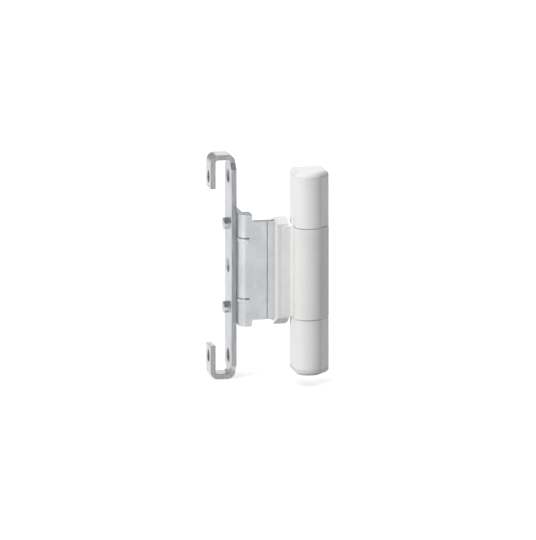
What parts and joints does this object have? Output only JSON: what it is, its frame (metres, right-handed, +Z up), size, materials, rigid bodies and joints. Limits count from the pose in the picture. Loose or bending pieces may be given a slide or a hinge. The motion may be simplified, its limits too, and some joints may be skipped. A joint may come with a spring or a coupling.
{
  "type": "corner hinge",
  "caption": "Corner hinge with a hook-ended mounting bar, a bent leaf and a covered knuckle that turns on a pin between rounded barrel housings",
  "frame": {"origin": "centre of the middle screw hole, on the face of the mounting bar that the hooks and studs stand out of", "axes": "X from the mounting bar to the barrel, Y away from the front of the barrel, Z up along the pin"},
  "size_m": [0.062, 0.0457, 0.126],
  "materials": {
    "zinc_steel": "zinc-plated pressed sheet",
    "stud_steel": "turned",
    "screw_steel": "dark",
    "white_enamel": "satin powder coat",
    "white_plastic": "fine moulded grain",
    "grey_plastic": "moulded",
    "bush_plastic": "moulded"
  },
  "bodies": {
    "frame_side": {"mounting_bar": "zinc_steel", "locating_stud_upper": "stud_steel", "locating_stud_lower": "stud_steel", "hinge_leaf": "zinc_steel", "corner_packer": "grey_plastic", "neck_cover": "white_plastic", "knuckle_shell": "white_plastic", "knuckle_cover": "white_plastic", "bush_upper": "bush_plastic", "bush_lower": "bush_plastic"},
    "sash_side": {"housing_upper": "white_enamel", "housing_lower": "white_enamel", "end_cap_upper": "white_plastic", "end_cap_lower": "white_plastic", "hinge_pin": "stud_steel", "pin_screw_upper": "screw_steel", "pin_screw_lower": "screw_steel"}
  },
  "joints": [
    {"name": "sash_swing", "type": "hinge", "parent": "frame_side", "child": "sash_side", "pos_m": [0.0401, -0.0263, 0], "axis": [0, 0, -1], "range_deg": [0, 180]}
  ]
}
